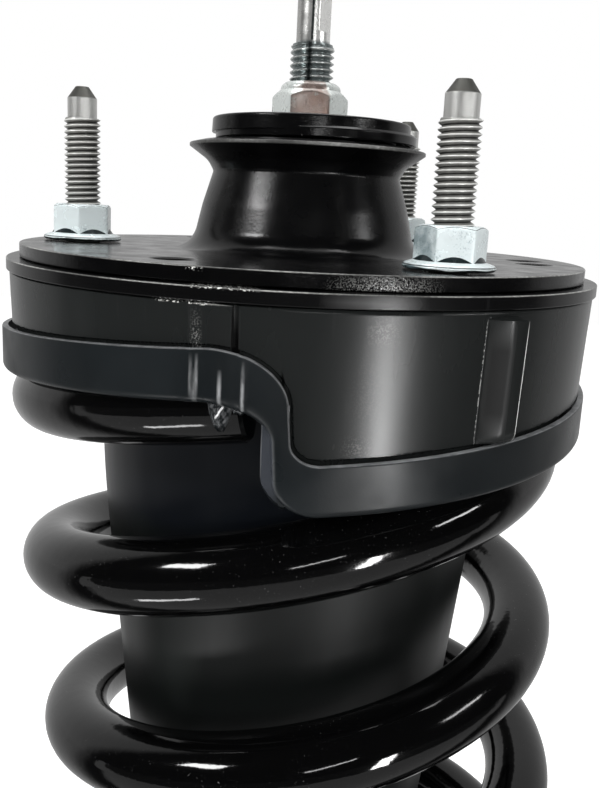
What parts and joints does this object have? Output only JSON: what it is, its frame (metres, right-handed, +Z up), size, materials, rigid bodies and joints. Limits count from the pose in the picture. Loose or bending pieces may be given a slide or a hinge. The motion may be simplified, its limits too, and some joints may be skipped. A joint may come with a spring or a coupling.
{
  "type": "coil-over strut assembly",
  "caption": "Loaded suspension strut: stud plate with rubber-bushed tower, stepped spring cup, side-load coil spring, dust boot, twin-tube damper and bar-pin lower eye.",
  "frame": {"origin": "centre of the stud plate's top face, on the damper rod's axis", "axes": "+Z up along the damper rod towards the studs' tips, -Y towards the side shown in the picture, +X to that view's right"},
  "size_m": [0.1754, 0.1699, 0.5817],
  "materials": {
    "tower_paint": "semi-gloss black paint with dust and small chips",
    "cup_paint": "satin black paint, finely speckled",
    "washer_paint": "semi-gloss black coat",
    "spring_paint": "high-gloss black powder coat",
    "damper_paint": "gloss black paint",
    "seat_paint": "gloss black paint",
    "pin_paint": "satin black phosphate coat",
    "isolator_rubber": "satin charcoal moulded rubber",
    "cushion_rubber": "matt black rubber",
    "bushing_rubber": "matt black rubber",
    "boot_rubber": "satin black moulded boot",
    "seal_rubber": "black nitrile",
    "zinc_nut": "bright blue-white zinc plating",
    "zinc_rod_nut": "bright zinc plating with a pale collar",
    "stud_steel": "grey phosphated steel",
    "rod_steel": "bright ground steel",
    "inner_steel": "drawn steel",
    "sintered_iron": "matt grey sintered iron",
    "bearing_band": "dark green bearing band",
    "bump_foam": "amber micro-cellular foam"
  },
  "bodies": {
    "top_mount": {"tower_plate": "tower_paint", "spring_cup": "cup_paint", "cup_plate": "cup_paint", "top_washer": "washer_paint", "low_washer": "washer_paint", "bump_cup": "washer_paint", "stud_1": "stud_steel", "stud_2": "stud_steel", "stud_3": "stud_steel", "stud_nut_1": "zinc_nut", "stud_nut_2": "zinc_nut", "stud_nut_3": "zinc_nut", "centre_bushing": "bushing_rubber", "centre_sleeve": "sintered_iron", "top_cushion": "cushion_rubber", "rod_nut": "zinc_rod_nut", "damper_rod": "rod_steel", "bump_stop": "bump_foam", "rebound_stop": "seal_rubber", "piston": "sintered_iron", "piston_band": "bearing_band", "piston_nut": "zinc_nut", "dust_boot": "boot_rubber", "boot_ring": "boot_rubber", "upper_isolator": "isolator_rubber", "coil_spring": "spring_paint"},
    "damper_body": {"damper_tube": "damper_paint", "tube_cap": "damper_paint", "rod_seal": "seal_rubber", "rod_guide": "sintered_iron", "inner_tube": "inner_steel", "base_valve": "sintered_iron", "bottom_cap": "damper_paint", "lower_seat": "seat_paint", "lower_pad": "isolator_rubber", "eye_ring": "damper_paint", "eye_bushing": "bushing_rubber"},
    "bar_pin": {"bar_pin": "pin_paint"}
  },
  "joints": [
    {"name": "damper_stroke", "type": "slide", "parent": "top_mount", "child": "damper_body", "axis": [0, 0, 1], "range_m": [0, 0.1], "stiffness_N_per_m": 55000, "deforming": ["coil_spring"]},
    {"name": "bar_pin_twist", "type": "hinge", "parent": "damper_body", "child": "bar_pin", "pos_m": [0, 0, -0.4807], "axis": [1, 0, 0], "range_deg": [-12, 12], "stiffness_Nm_per_rad": 120}
  ]
}
